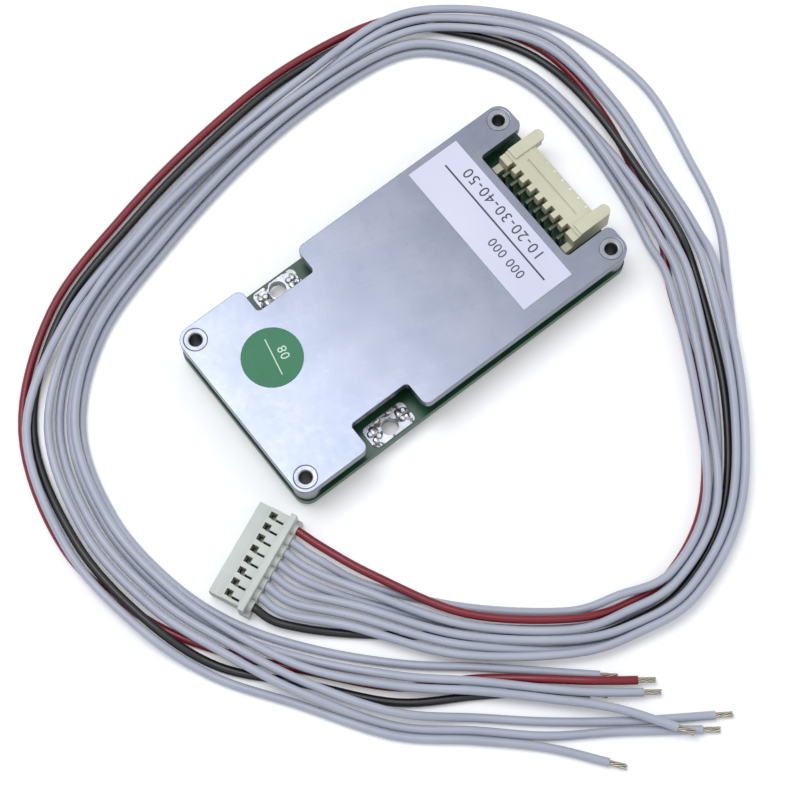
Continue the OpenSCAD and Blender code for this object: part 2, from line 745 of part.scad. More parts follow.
module bare_ends() {
    color("silver")
        for (i = [0 : ways - 1]) {
            p = route(i);
            last = p[len(p) - 1];
            back = p[len(p) - 2];
            translate(last) rotate(atan2(last[1] - back[1], last[0] - back[0])) rotate([0, 90, 0]) {
                cylinder(d = strand_d, h = bare_l - 0.4, $fn = 16);
                translate([0, 0, bare_l - 0.4]) cylinder(d1 = strand_d, d2 = strand_d * 0.5, h = 0.4, $fn = 16);
            }
        }
}

circuit_board();
heat_plate();
corner_rivets();
spacer_sleeves();
battery_pad();
load_pad();
power_transistors();
transistor_leads();
thermal_pad();
shunt_resistors();
bleed_resistors();
bleed_transistors();
filter_capacitors();
protection_chip();
chip_leads();
sense_resistors();
header_shell();
header_pins();
pin_solder();
rating_label();
check_sticker();
plug_housing();
plug_terminals();
wire_red();
wire_white_1();
wire_white_2();
wire_white_3();
wire_white_4();
wire_white_5();
wire_white_6();
wire_black();
bare_ends();
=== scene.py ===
# %% [markdown]
# # Battery management board
# The board lies on a pale table with its sense lead unplugged and coiled round it.
# Everything is in metres, in the frame of the CAD parts: X runs along the board to the
# header end, Z is up, and the origin is the middle of the board's footprint.

import math

import bpy
from mathutils import Matrix, Vector


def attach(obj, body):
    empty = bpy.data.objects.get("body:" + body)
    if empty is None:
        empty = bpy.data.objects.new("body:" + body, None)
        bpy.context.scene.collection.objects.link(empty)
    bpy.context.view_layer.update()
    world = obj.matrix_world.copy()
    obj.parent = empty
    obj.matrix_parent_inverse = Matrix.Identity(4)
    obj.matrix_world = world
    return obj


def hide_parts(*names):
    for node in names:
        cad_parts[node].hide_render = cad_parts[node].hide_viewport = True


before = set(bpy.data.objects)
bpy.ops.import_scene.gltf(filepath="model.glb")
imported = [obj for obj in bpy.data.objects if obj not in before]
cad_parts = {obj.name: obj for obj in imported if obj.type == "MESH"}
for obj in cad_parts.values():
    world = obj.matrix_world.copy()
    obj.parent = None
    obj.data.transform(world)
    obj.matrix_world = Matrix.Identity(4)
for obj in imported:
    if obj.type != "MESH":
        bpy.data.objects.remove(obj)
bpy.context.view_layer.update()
MM = 0.001

# %% [markdown]
# ## Camera
# The camera looks down steeply at the board with a long lens, and is rolled a little.
# Its axes come from azimuth, elevation and roll, so each can be changed on its own.

# %% Camera
AZIMUTH, ELEVATION, ROLL = (math.radians(a) for a in (-36.44, 71.97, -1.69))
LOOK_AT = Vector((-0.01104, -0.01153, 0))
DISTANCE = 0.356

away = Vector(
    (
        math.cos(ELEVATION) * math.sin(AZIMUTH),
        -math.cos(ELEVATION) * math.cos(AZIMUTH),
        math.sin(ELEVATION),
    )
)
level = (-away).cross(Vector((0, 0, 1))).normalized()
upward = level.cross(-away)
right = math.cos(ROLL) * level + math.sin(ROLL) * upward
up = math.cos(ROLL) * upward - math.sin(ROLL) * level

camera = bpy.data.objects.new("Camera", bpy.data.cameras.new("Camera"))
bpy.context.scene.collection.objects.link(camera)
turn = Matrix((right, up, away)).transposed().to_4x4()
camera.matrix_world = Matrix.Translation(LOOK_AT + DISTANCE * away) @ turn
camera.data.lens = 99
camera.data.sensor_width = 36
camera.data.clip_start = 0.01
bpy.context.scene.camera = camera
print("camera at", [round(v, 3) for v in camera.matrix_world.translation])

# %% [markdown]
# ## Where the wires run
# The lead lies as one flat bundle. Each station is a point on the bundle's inner edge
# with the direction across it, and each wire has its own distance across and its layer.
# These are the same round numbers as in the CAD source.

# %% Tables of the eight wires
WIRE_D = 1.4 * MM
LAYER_0, LAYER_RISE = 0.8, 1.6
PLUG_AT, PLUG_TURN = (-44, -22), math.radians(23.5)
CORE_Z, SEAT_L, PITCH = 2.3, 2, 2

# fmt: off
STATIONS = [
    (-36, -24, 203.5), (-32.5, -32.5, 208), (-25, -46, 219), (-13, -56.5, 238),
    (-4.5, -59.5, 257), (4.5, -60.5, 278), (16, -55, 308), (27, -41.5, 326), (35.5, -24, 338),
    (38, -15.5, 342), (40, -6, 346), (41.5, 8, 358), (40, 20.5, 20), (34, 31, 47), (26, 37, 70),
    (10, 38.5, 88), (-7, 37, 100), (-25, 33, 107), (-42.5, 27, 117), (-54.5, 16, 144),
    (-59, 1, 176), (-58, -13.5, 196), (-54, -25, 208), (-47, -35.5, 217), (-38, -46, 226),
    (-29, -54, 229), (-20.8, -61.6, 229),
]
PLACES = {
    "red": [
        (0, 0.9), (0, 1), (0, 1), (0, 1), (0.5, 0.05), (0, 0), (0, 0), (0, 0), (0, 0), (2.2, 0),
        (3.6, 0), (5.4, 0), (6.8, 0), (6.4, 0), (7.2, 0), (8.4, 0), (8.8, 0), (9.4, 0), (9.6, 0),
        (9.6, 0), (9.2, 0), (7, 0), (4.8, 0), (3.5, 0), (3.3, 0), (1.2, 0), (0.6, 0.8)],
    "white_1": [
        (2, 0.9), (1.4, 0), (-1.3, 0), (-1.5, 0), (-1, 0.95), (0.2, 1), (0.4, 1), (-0.8, 1),
        (-0.2, 1), (-0.4, 0.5), (0, 0), (0, 0), (0, 0), (0, 0), (0, 0), (0, 0), (0, 0), (0, 0),
        (0, 0), (0, 0), (0, 0), (0, 0), (0, 0), (0, 0), (-0.4, 0), (-0.6, 0), (-0.8, 0)],
    "white_2": [
        (4, 0.9), (2.8, 1), (1.8, 1), (1.8, 1), (1.8, 1), (1.8, 1), (2.1, 1), (0.8, 1), (1.6, 1),
        (1.5, 1), (1, 1), (0.9, 1), (0.9, 1), (0.9, 1), (0.9, 1), (0.9, 1), (0.9, 1), (0.9, 1),
        (0.9, 1), (0.9, 1), (0.9, 1), (1, 1), (1.6, 1), (3.4, 1), (3.4, 1), (3.4, 1), (3.7, 1)],
    "white_3": [
        (6, 0.9), (4.2, 0), (1.6, 0), (1.2, 0), (1.95, 0), (1.5, 0), (1.8, 0), (2.3, 0),
        (3.3, 1), (3.2, 1), (2.6, 1), (1.8, 0), (1.8, 0), (1.8, 0), (1.8, 0), (1.7, 0), (1.7, 0),
        (1.8, 0), (1.8, 0), (1.8, 0), (1.8, 0), (1.8, 0), (1.8, 0), (1.8, 0), (1.8, 1), (1.9, 1),
        (2.2, 1)],
    "white_4": [
        (8, 0.9), (5.4, 1), (3.5, 1), (3.3, 1), (4.1, 1), (4, 1), (4.4, 1), (5.1, 1), (6.2, 1),
        (6.5, 1), (6.1, 1), (6.6, 1), (6.9, 1), (4.6, 1), (3, 1), (2.6, 1), (3.4, 1), (4.5, 1),
        (4.4, 1), (5.2, 1), (5.2, 1), (5.1, 1), (5.1, 1), (7.3, 1), (9.3, 0), (9.3, 0), (9.2, 0)],
    "white_5": [
        (10, 0.9), (7.1, 1), (5, 1), (4.5, 0), (4.9, 0), (4.6, 0), (5, 0), (6, 0), (9.6, 0),
        (12.2, 0), (13, 0), (14.2, 0), (11.8, 0), (8.1, 1), (6.4, 1), (4.6, 1), (5.2, 0),
        (5.6, 0), (6.2, 1), (8.7, 1), (8.8, 1), (8.8, 1), (8.9, 0), (8.9, 0), (10.8, 0),
        (10.8, 0), (11, 0)],
    "white_6": [
        (12, 0.9), (8.8, 1), (6.6, 1), (5.5, 1), (5.6, 1), (5.5, 1), (5.9, 1), (6.6, 1),
        (7.9, 1), (8.2, 0), (7.6, 0), (8.4, 0), (8.7, 1), (6.3, 1), (4.7, 1), (3.4, 0), (3.4, 0),
        (3.6, 0), (3.6, 0), (3.6, 0), (3.5, 1), (3.4, 1), (3.4, 1), (5.5, 1), (7.5, 1), (7.3, 0),
        (7, 0)],
    "black": [
        (13.6, 0.5), (9.7, 0), (3.4, 0), (3, 0), (3.4, 0), (3.1, 0), (3.4, 0), (4, 0), (4.7, 0),
        (4.9, 1), (4.3, 1), (4.2, 1), (4.9, 0), (4.4, 0), (5.4, 0), (6.8, 0), (7, 0), (7.5, 0),
        (7.8, 0), (7.8, 0), (7.1, 1), (7.2, 1), (7.2, 0), (5.6, 0), (5.7, 0), (3.9, 0), (2.2, 0)],
}
ENDS = {
    "red": [(-16, -66.5, 1), (-10.5, -70.5, 0.4)],
    "white_1": [(-14.5, -66.2, 0)],
    "white_2": [(-16, -72, 1), (-10.5, -80, 1)],
    "white_3": [(-17, -68, 1), (-11, -72.5, 0.4)],
    "white_4": [(-17.5, -75, 0), (-7.5, -82.5, 0)],
    "white_5": [(-22, -77.5, 0)],
    "white_6": [(-15.5, -74.5, 0), (-4.5, -82, 0)],
    "black": [(-17.5, -67.5, 0)],
}
# fmt: on
WIRES = list(PLACES)
print(len(STATIONS), "stations for", WIRES)

# %% [markdown]
# ## Smooth lines through the stations
# A wire starts inside the plug, passes its place at each station, and ends on its own.
# The line is a Catmull-Rom curve in plan, and its height eases without overshooting.

# %% Routes of the eight wires


def layer_z(layer):
    return LAYER_0 + LAYER_RISE * layer


def out_of_plug(i, reach):
    """A point this far outside the plug, in line with terminal i."""
    c, s = math.cos(PLUG_TURN), math.sin(PLUG_TURN)
    side = (i - (len(WIRES) - 1) / 2) * PITCH
    return Vector((PLUG_AT[0] - side * c + reach * s, PLUG_AT[1] - side * s - reach * c, CORE_Z))


def route(i):
    points = [out_of_plug(i, -SEAT_L), out_of_plug(i, 0)]
    for (x, y, across), (offset, layer) in zip(STATIONS, PLACES[WIRES[i]]):
        a = math.radians(across)
        points.append(Vector((x + offset * math.cos(a), y + offset * math.sin(a), layer_z(layer))))
    return points + [Vector((x, y, layer_z(layer))) for x, y, layer in ENDS[WIRES[i]]]


def smooth(points, steps=8):
    """A smooth line in plan through the points, whose height eases from each to the next."""
    line = []
    full = [2 * points[0] - points[1], *points, 2 * points[-1] - points[-2]]
    for a, b, c, d in zip(full, full[1:], full[2:], full[3:]):
        for j in range(steps):
            t = j / steps
            p = 2 * b + (c - a) * t + (2 * a - 5 * b + 4 * c - d) * t**2
            p = (p + (3 * b - a - 3 * c + d) * t**3) / 2
            p.z = b.z + (c.z - b.z) * t * t * (3 - 2 * t)
            line.append(p * MM)
    return line + [points[-1] * MM]


LINES = {name: smooth(route(i)) for i, name in enumerate(WIRES)}

# %% [markdown]
# ## The wires as tubes
# Each wire is a curve with a round bevel, so that its bends stay smooth.

# %% Wire curves


def tube_curve(name, lines, radius, rings=4):
    """A curve object with one open round tube along each line.

    A curve's box counts the radius of its points, so they carry a real one in metres.
    """
    data = bpy.data.curves.new(name, "CURVE")
    data.dimensions = "3D"
    data.bevel_depth = 1
    data.bevel_resolution = rings
    data.use_fill_caps = True
    for line in lines:
        spline = data.splines.new("POLY")
        spline.points.add(len(line) - 1)
        for point, co in zip(spline.points, line):
            point.co = (*co, 1)
            point.radius = radius
        spline.use_smooth = True
    thing = bpy.data.objects.new(name, data)
    bpy.context.scene.collection.objects.link(thing)
    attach(thing, "root")
    return thing


wires = {}
for name in WIRES:
    wires[name] = tube_curve(f"Wire_{name}", [LINES[name]], WIRE_D / 2)
    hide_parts(f"wire_{name}")
print(len(wires), "wires")

# %% [markdown]
# ## Stripped ends
# At each free end seven tinned strands are twisted together and splay a little at the tip.

# %% Bare strands
STRAND_D = 0.3 * MM
BARE_L = 2.8 * MM
HIDDEN_L = 0.6 * MM
STRANDS, STEPS, TWIST = 7, 14, 2.6


def strands(end, along, phase):
    """Seven twisted strands that leave a wire's end."""
    side = along.cross(Vector((0, 0, 1))).normalized()
    over = side.cross(along)
    lines = []
    for k in range(STRANDS):
        line = []
        for step in range(STEPS + 1):
            t = step / STEPS
            out = (BARE_L + HIDDEN_L) * t - HIDDEN_L
            short = 1 - 0.03 * (k % 4)
            splay = 1 + 0.45 * max(0, t - 0.75) * (1 + (k % 3))
            r = 0 if k == STRANDS - 1 else STRAND_D * 0.98 * splay
            angle = phase + k * math.pi / 3 + TWIST * t
            sideways = r * (math.cos(angle) * side + math.sin(angle) * over)
            drop = Vector((0, 0, -0.12 * MM * t * t))
            line.append(end + along * out * short + sideways + drop)
        lines.append(line)
    return lines


strand_lines = []
for i, name in enumerate(WIRES):
    line = LINES[name]
    strand_lines += strands(line[-1], (line[-1] - line[-3]).normalized(), 0.7 * i)
bare_ends = tube_curve("Bare_strands", strand_lines, STRAND_D / 2, rings=1)
bpy.ops.object.select_all(action="DESELECT")
bare_ends.select_set(True)
bpy.context.view_layer.objects.active = bare_ends
bpy.ops.object.convert(target="MESH")
bare_ends = bpy.context.object
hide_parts("bare_ends")
print("strands", len(strand_lines), "faces", len(bare_ends.data.polygons))

# %% [markdown]
# ## Softer edges on the CAD parts
# The parts that show most are copied from the CAD, and their sharp edges get a small
# rounded break, as moulding and tumbling leave them.

# %% Copies with broken edges


def broken_edges(node, name, width, segments=2, angle=35):
    """A copy of a CAD part with its sharp edges rounded; it stands for the part."""
    source = bpy.data.objects[node]
    piece = bpy.data.objects.new(name, source.data.copy())
    bpy.context.scene.collection.objects.link(piece)
    piece.data.materials.clear()
    bpy.ops.object.select_all(action="DESELECT")
    piece.select_set(True)
    bpy.context.view_layer.objects.active = piece
    bpy.ops.object.mode_set(mode="EDIT")
    bpy.ops.mesh.select_all(action="SELECT")
    bpy.ops.mesh.remove_doubles(threshold=0.00001)
    bpy.ops.mesh.dissolve_limited(angle_limit=math.radians(1))
    bpy.ops.object.mode_set(mode="OBJECT")
    bevel = piece.modifiers.new("Edge break", "BEVEL")
    bevel.width = width
    bevel.segments = segments
    bevel.limit_method = "ANGLE"
    bevel.angle_limit = math.radians(angle)
    bevel.use_clamp_overlap = True
    bpy.ops.object.modifier_apply(modifier=bevel.name)
    bpy.ops.object.shade_smooth_by_angle(angle=math.radians(32))
    flat = piece.modifiers.new("Flat faces", "WEIGHTED_NORMAL")
    flat.keep_sharp = True
    flat.weight = 100
    bpy.ops.object.modifier_apply(modifier=flat.name)
    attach(piece, "root")
    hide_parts(node)
    return piece


plate = broken_edges("heat_plate", "Heat_plate", 0.22 * MM, 3)
plug = broken_edges("plug_housing", "Plug_housing", 0.06 * MM, 2)
header = broken_edges("header_shell", "Header_shell", 0.07 * MM, 2)
rivets = broken_edges("corner_rivets", "Corner_rivets", 0.08 * MM, 2)
for piece in (plate, plug, header, rivets):
    print(piece.name, len(piece.data.polygons), "faces")

# %% [markdown]
# ## Solder on the lead pads
# Lumps of solder and flux residue lie on the tinned pads round each soldering hole.

# %% Solder lumps
PAD_Z = 3.2 * MM
HOLE_X = -15.65
LUMPS = (  # from the hole along the board, from the board's middle, two widths and height
    (-2.55, 13.9, 1.5, 1.7, 0.34), (-3.2, 15.3, 1.0, 1.2, 0.26), (2.45, 14.0, 1.4, 1.5, 0.38),
    (3.15, 15.2, 1.1, 1.3, 0.25), (-1.2, 12.85, 1.2, 0.55, 0.2), (1.3, 12.85, 1.0, 0.5, 0.18),
)


def join(pieces, name):
    """The pieces as one, under a new name."""
    bpy.ops.object.select_all(action="DESELECT")
    for piece in pieces:
        piece.select_set(True)
    bpy.context.view_layer.objects.active = pieces[0]
    bpy.ops.object.join()
    whole = bpy.context.object
    whole.name = name
    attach(whole, "root")
    return whole


def solder_lump(x, y, across, along, high):
    """A low uneven drop on a pad."""
    bpy.ops.mesh.primitive_uv_sphere_add(segments=20, ring_count=12, radius=1, location=(0, 0, 0))
    drop = bpy.context.object
    for v in drop.data.vertices:
        wave = 1 + 0.10 * math.sin(3.1 * v.co.x + 5 * x) + 0.08 * math.cos(4.3 * v.co.y + 3 * y)
        v.co = Vector(
            (
                (x + v.co.x * across / 2 * wave) * MM,
                (y + v.co.y * along / 2 * wave) * MM,
                PAD_Z + v.co.z * high * MM * wave,
            )
        )
    bpy.ops.object.shade_smooth()
    return drop


lumps = []
for side in (-1, 1):
    for dx, y, across, along, high in LUMPS:
        lumps.append(solder_lump(HOLE_X + dx, side * y, across, along, high))
lump_count = len(lumps)
solder_lumps = join(lumps, "Solder_lumps")
print("solder lumps", lump_count)

# %% [markdown]
# ## Print on the label and the sticker
# The print is generic: ruled lines and plain numbers, a film's thickness high.

# %% Ruled lines and numbers
TOP_Z = 8.32 * MM
INK = 0.015 * MM


def ink_block(x, y, length, width, turn):
    """A printed bar, turned about its own middle."""
    bpy.ops.mesh.primitive_cube_add(size=1, location=(0, 0, 0))
    bar = bpy.context.object
    spin = Matrix.Rotation(math.radians(turn), 3, "Z")
    for v in bar.data.vertices:
        flat = spin @ Vector((v.co.x * length, v.co.y * width, 0))
        v.co = Vector(((x + flat.x) * MM, (y + flat.y) * MM, TOP_Z + (v.co.z + 0.5) * INK))
    return bar


def ink_text(words, x, y, size, turn, gap=1.0):
    """Printed numbers with a little thickness, centred on a point."""
    bpy.ops.object.text_add(location=(0, 0, 0))
    text = bpy.context.object
    text.data.body = words
    text.data.size = size * MM
    text.data.space_character = gap
    text.data.align_x = "CENTER"
    text.data.align_y = "CENTER"
    text.data.extrude = INK / 2
    text.data.resolution_u = 4
    bpy.ops.object.convert(target="MESH")
    text = bpy.context.object
    place = Matrix.Translation((x * MM, y * MM, TOP_Z + INK / 2))
    text.data.transform(place @ Matrix.Rotation(math.radians(turn), 4, "Z"))
    return text


label_print = join(
    [
        ink_block(18.05, 0.7, 0.3, 25.6, 0),
        ink_text("10-20-30-40-50", 20.2, 0.9, 2.7, 90, 1.15),
        ink_text("000 000", 15.7, -5.4, 2.3, 90, 1.1),
    ],
    "Label_print",
)
sticker_print = join(
    [
        ink_block(-24.0, 4.4, 0.18, 6.6, -12),
        ink_text("08", -22.2, 4.0, 2.2, 78, 1.1),
    ],
    "Sticker_print",
)
print("print faces", len(label_print.data.polygons), len(sticker_print.data.polygons))

# %% [markdown]
# ## Shared surface effects
# Node groups hold the effects that materials share, on the object's own coordinates.
# These helpers make their nodes and sockets.

# %% Helpers for nodes


def node(tree, kind, **values):
    """A node with its properties and input values set."""
    made = tree.nodes.new(kind)
    for key, value in values.items():
        if key.startswith("in_"):
            made.inputs[key[3:].replace("_", " ")].default_value = value
        else:
            setattr(made, key, value)
    return made


def new_group(name, inputs, outputs):
    group = bpy.data.node_groups.new(name, "ShaderNodeTree")
    for label, kind, value in inputs:
        group.interface.new_socket(label, in_out="INPUT", socket_type=kind).default_value = value
    for label, kind in outputs:
        group.interface.new_socket(label, in_out="OUTPUT", socket_type=kind)
    return group, group.nodes.new("NodeGroupInput"), group.nodes.new("NodeGroupOutput")


FLOAT = "NodeSocketFloat"
VECTOR = "NodeSocketVector"
print("helpers", node.__name__, new_group.__name__)

# %% [markdown]
# ## Patches, grain and relief
# One group gives soft patches and fine grain as masks, and one gives a bump normal.

# %% Groups for every material
patches, enter, leave = new_group(
    "Patches and grain",
    [("Patch scale", FLOAT, 150.0), ("Grain scale", FLOAT, 4000.0)],
    [("Patches", FLOAT), ("Grain", FLOAT)],
)
coords = node(patches, "ShaderNodeTexCoord")
big = node(patches, "ShaderNodeTexNoise", in_Detail=3.0, in_Roughness=0.55)
fine = node(patches, "ShaderNodeTexNoise", in_Detail=4.0, in_Roughness=0.6)
for noise, socket, out in ((big, "Patch scale", "Patches"), (fine, "Grain scale", "Grain")):
    patches.links.new(coords.outputs["Object"], noise.inputs["Vector"])
    patches.links.new(enter.outputs[socket], noise.inputs["Scale"])
    patches.links.new(noise.outputs["Fac"], leave.inputs[out])

relief, enter, leave = new_group(
    "Relief",
    [("Scale", FLOAT, 3000.0), ("Strength", FLOAT, 0.1), ("Depth", FLOAT, 0.00002)],
    [("Normal", VECTOR)],
)
coords = node(relief, "ShaderNodeTexCoord")
noise = node(relief, "ShaderNodeTexNoise", in_Detail=3.0, in_Roughness=0.55)
bump = node(relief, "ShaderNodeBump")
relief.links.new(coords.outputs["Object"], noise.inputs["Vector"])
relief.links.new(enter.outputs["Scale"], noise.inputs["Scale"])
relief.links.new(noise.outputs["Fac"], bump.inputs["Height"])
relief.links.new(enter.outputs["Strength"], bump.inputs["Strength"])
relief.links.new(enter.outputs["Depth"], bump.inputs["Distance"])
relief.links.new(bump.outputs["Normal"], leave.inputs["Normal"])
print("groups", patches.name, "and", relief.name)

# %% [markdown]
# ## Fine scratches
# Noise that is stretched along one direction and cut off high leaves thin straight marks.
# They are very faint on the plate.

# %% Group for the plate
scratches, enter, leave = new_group(
    "Fine scratches",
    [
        ("Length", FLOAT, 90.0),
        ("Across", FLOAT, 2600.0),
        ("Turn", FLOAT, 0.5),
        ("Amount", FLOAT, 0.64),
    ],
    [("Mask", FLOAT)],
)
coords = node(scratches, "ShaderNodeTexCoord")
spin = node(scratches, "ShaderNodeVectorRotate", rotation_type="Z_AXIS")
stretch = node(scratches, "ShaderNodeVectorMath", operation="MULTIPLY")
scales = node(scratches, "ShaderNodeCombineXYZ")
streaks = node(scratches, "ShaderNodeTexNoise", in_Scale=1.0, in_Detail=1.0, in_Roughness=0.4)
cut = node(scratches, "ShaderNodeMapRange", in_To_Min=0.0, in_To_Max=1.0)
past = node(scratches, "ShaderNodeMath", operation="ADD")
past.inputs[1].default_value = 0.1
links = scratches.links
links.new(coords.outputs["Object"], spin.inputs["Vector"])
links.new(enter.outputs["Turn"], spin.inputs["Angle"])
links.new(spin.outputs["Vector"], stretch.inputs[0])
links.new(enter.outputs["Length"], scales.inputs["X"])
links.new(enter.outputs["Across"], scales.inputs["Y"])
links.new(enter.outputs["Length"], scales.inputs["Z"])
links.new(scales.outputs["Vector"], stretch.inputs[1])
links.new(stretch.outputs["Vector"], streaks.inputs["Vector"])
links.new(streaks.outputs["Fac"], cut.inputs["Value"])
links.new(enter.outputs["Amount"], cut.inputs["From Min"])
links.new(enter.outputs["Amount"], past.inputs[0])
links.new(past.outputs["Value"], cut.inputs["From Max"])
links.new(cut.outputs["Result"], leave.inputs["Mask"])
print("group", scratches.name)

# %% [markdown]
# ## Materials
# One recipe makes the plain materials: two close tones in soft patches, a roughness that
# wanders a little, and a fine relief. The plate's aluminium and the pads' tin add to it.

# %% Material recipe


def srgb(r, g, b):
    """A colour from 0..255 screen values."""

    def linear(v):
        v /= 255
        return v / 12.92 if v <= 0.04045 else ((v + 0.055) / 1.055) ** 2.4

    return (linear(r), linear(g), linear(b), 1)


def use_group(tree, group, **values):
    made = tree.nodes.new("ShaderNodeGroup")
    made.node_tree = group
    for key, value in values.items():
        made.inputs[key.replace("_", " ")].default_value = value
    return made


def mix_colour(tree, factor, a, b):
    """A colour mix; each of a and b is a colour or an output socket."""
    mix = node(tree, "ShaderNodeMix", data_type="RGBA")
    tree.links.new(factor, mix.inputs["Factor"])
    for socket, value in ((mix.inputs[6], a), (mix.inputs[7], b)):
        if isinstance(value, tuple):
            socket.default_value = value
        else:
            tree.links.new(value, socket)
    return mix.outputs[2]


def spread_out(tree, value, low, high, to_low, to_high):
    wide = node(tree, "ShaderNodeMapRange")
    for key, v in (("From Min", low), ("From Max", high), ("To Min", to_low), ("To Max", to_high)):
        wide.inputs[key].default_value = v
    tree.links.new(value, wide.inputs["Value"])
    return wide.outputs["Result"]


def material(name, colour, second, rough=(0.4, 0.5), metallic=0.0, patch=150.0, grain=4000.0,
             relief_scale=3000.0, relief_by=0.1, depth=0.00002, **shader):
    """A material in two tones, with its tree and its shader."""
    made = bpy.data.materials.new(name)
    made.use_nodes = True
    tree = made.node_tree
    skin = tree.nodes["Principled BSDF"]
    skin.inputs["Metallic"].default_value = metallic
    for key, value in shader.items():
        skin.inputs[key.replace("_", " ")].default_value = value
    spots = use_group(tree, patches, Patch_scale=patch, Grain_scale=grain)
    patchy = spread_out(tree, spots.outputs["Patches"], 0.35, 0.65, 0, 1)
    grainy = spread_out(tree, spots.outputs["Grain"], 0.3, 0.7, *rough)
    tree.links.new(mix_colour(tree, patchy, colour, second), skin.inputs["Base Color"])
    tree.links.new(grainy, skin.inputs["Roughness"])
    bumps = use_group(tree, relief, Scale=relief_scale, Strength=relief_by, Depth=depth)
    tree.links.new(bumps.outputs["Normal"], skin.inputs["Normal"])
    return made


def paint(thing, made):
    """Gives a piece or a CAD part its one material."""
    thing = bpy.data.objects[thing] if isinstance(thing, str) else thing
    thing.data.materials.clear()
    thing.data.materials.append(made)


print("recipe", material.__name__)

# %% [markdown]
# ## Aluminium
# The plate is satin and mirrors the lamp softly, so it darkens towards the header.

# %% Aluminium plate
aluminium = material("Satin_aluminium", srgb(120, 125, 139), srgb(128, 132, 145), (0.27, 0.32), 1.0,
                     patch=110.0, grain=900.0, relief_scale=1500.0, relief_by=0.08)
tree = aluminium.node_tree
skin = tree.nodes["Principled BSDF"]
base = skin.inputs["Base Color"].links[0].from_socket
gloss = skin.inputs["Roughness"].links[0].from_socket
long_marks = use_group(tree, scratches, Length=45.0, Across=3200.0, Turn=0.35, Amount=0.63)
cross_marks = use_group(tree, scratches, Length=80.0, Across=3800.0, Turn=2.0, Amount=0.66)
both = node(tree, "ShaderNodeMath", operation="MAXIMUM")
tree.links.new(long_marks.outputs["Mask"], both.inputs[0])
tree.links.new(cross_marks.outputs["Mask"], both.inputs[1])
faint = spread_out(tree, both.outputs["Value"], 0, 1, 0, 0.02)
tree.links.new(mix_colour(tree, faint, base, srgb(215, 216, 222)), skin.inputs["Base Color"])
less = node(tree, "ShaderNodeMath", operation="SUBTRACT")
tree.links.new(gloss, less.inputs[0])
tree.links.new(spread_out(tree, both.outputs["Value"], 0, 1, 0, 0.005), less.inputs[1])
tree.links.new(less.outputs["Value"], skin.inputs["Roughness"])
paint(plate, aluminium)
print("painted", plate.name)

# %% [markdown]
# ## Rivets, solder and the lead pads
# The tinned pads have dark patches of flux, which are no longer metal.

# %% Rivets, solder and pads
tinned_metal = material("Rivet_metal", srgb(124, 127, 135), srgb(142, 144, 150), (0.28, 0.42), 1.0,
                        patch=400.0, relief_scale=2500.0, relief_by=0.2)
paint(rivets, tinned_metal)
paint("spacer_sleeves", tinned_metal)

solder = material("Solder", srgb(196, 197, 196), srgb(150, 150, 146), (0.18, 0.42), 1.0,
                  patch=700.0, relief_scale=900.0, relief_by=0.5, depth=0.0001)
for thing in ("pin_solder", solder_lumps):
    paint(thing, solder)

pad_tin = material("Pad_tin", srgb(172, 173, 182), srgb(150, 151, 158), (0.34, 0.5), 1.0,
                   patch=700.0, relief_scale=700.0, relief_by=0.6, depth=0.0001)
tree = pad_tin.node_tree
skin = tree.nodes["Principled BSDF"]
base = skin.inputs["Base Color"].links[0].from_socket
flux = use_group(tree, patches, Patch_scale=760.0, Grain_scale=3000.0)
dirt = spread_out(tree, flux.outputs["Patches"], 0.56, 0.6, 0, 1)
tree.links.new(mix_colour(tree, dirt, base, srgb(70, 76, 62)), skin.inputs["Base Color"])
tree.links.new(spread_out(tree, dirt, 0, 1, 1, 0), skin.inputs["Metallic"])
for thing in ("battery_pad", "load_pad"):
    paint(thing, pad_tin)
print("painted rivets, solder and pads")

# %% [markdown]
# ## Leads, pins and strands
# The pins and the plug's terminals are rougher than the leads of the small parts, and their
# tin is painted dark olive as shade, for under the header and deep in the plug's windows.

# %% Tinned metal
lead_tin = material("Tinned_lead", srgb(186, 186, 184), srgb(164, 163, 158), (0.25, 0.4), 1.0,
                    patch=500.0)
for thing in ("transistor_leads", "chip_leads"):
    paint(thing, lead_tin)

# Painted shade: this tin is darkened for the shade under the header and inside the plug's windows.
tin_painted_shade = material("Dull_tin", srgb(96, 97, 84), srgb(74, 76, 66), (0.4, 0.55), 1.0,
                    patch=500.0)
for thing in ("header_pins", "plug_terminals"):
    paint(thing, tin_painted_shade)

strand_tin = material("Tinned_strand", srgb(176, 166, 150), srgb(150, 146, 140), (0.25, 0.42),
                      1.0, patch=900.0)
paint(bare_ends, strand_tin)
print("painted leads, pins, terminals and strands")

# %% [markdown]
# ## Nylon, wire sheaths and the thermal pad
# Nylon lets a little light in; the sheaths are a smooth soft plastic.

# %% Plastics and rubber
ivory = material("Ivory_nylon", srgb(205, 202, 178), srgb(196, 193, 168), (0.42, 0.55),
                 patch=120.0, relief_scale=2200.0, relief_by=0.12, Subsurface_Weight=0.06,
                 Subsurface_Radius=(0.001, 0.0008, 0.0005), Subsurface_Scale=1.0)
paint(header, ivory)
white_nylon = material("White_nylon", srgb(196, 200, 194), srgb(186, 191, 185), (0.4, 0.52),
                       patch=120.0, relief_scale=2200.0, relief_by=0.12, Subsurface_Weight=0.06,
                       Subsurface_Radius=(0.001, 0.0009, 0.0008), Subsurface_Scale=1.0)
paint(plug, white_nylon)

SHEATHS = {
    "red": (srgb(122, 14, 34), srgb(112, 10, 30)),
    "white": (srgb(172, 176, 190), srgb(163, 167, 182)),
    "black": (srgb(16, 16, 22), srgb(12, 12, 16)),
}
for colour, (one, two) in SHEATHS.items():
    sheath = material(f"PVC_{colour}", one, two, (0.32, 0.44), patch=90.0,
                      relief_scale=1200.0, relief_by=0.1, depth=0.00003)
    for name in WIRES:
        if name.startswith(colour):
            paint(wires[name], sheath)

